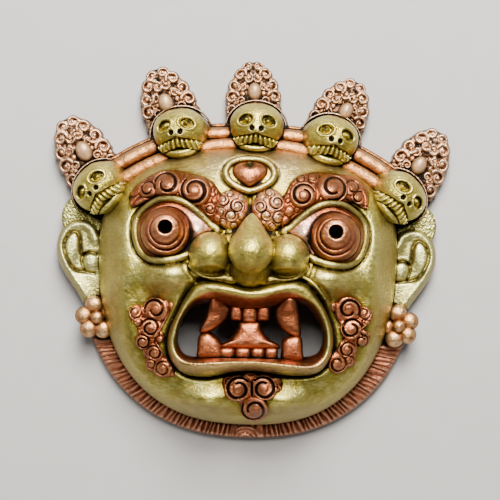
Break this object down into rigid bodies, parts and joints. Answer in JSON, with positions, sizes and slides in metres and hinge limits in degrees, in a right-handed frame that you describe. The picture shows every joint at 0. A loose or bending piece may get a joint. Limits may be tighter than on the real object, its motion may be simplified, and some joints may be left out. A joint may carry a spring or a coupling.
{
  "type": "guardian wall mask",
  "caption": "Hollow cast wall mask of a wrathful guardian with bulging eyes, an open fanged mouth and a crown of skulls and leaves.",
  "frame": {"origin": "centre of the box round the mask, on the plane of its flat back", "axes": "+X to the right seen from the front, +Y towards the crown, +Z out of the face"},
  "size_m": [0.2106, 0.2002, 0.0738],
  "materials": {
    "green_gold_paint": "green-gold metallic paint with a black antique wash in the hollows",
    "copper_paint": "copper metallic paint with a black antique wash in the hollows",
    "pale_copper_paint": "pale copper metallic paint, dry-brushed, with a black antique wash in the hollows",
    "stone_paint": "satin tan-gold paint on the oval stones",
    "bare_resin": "black-painted cast resin inside the hollow back"
  },
  "bodies": {
    "root": {"mask": "green_gold_paint"}
  },
  "joints": []
}
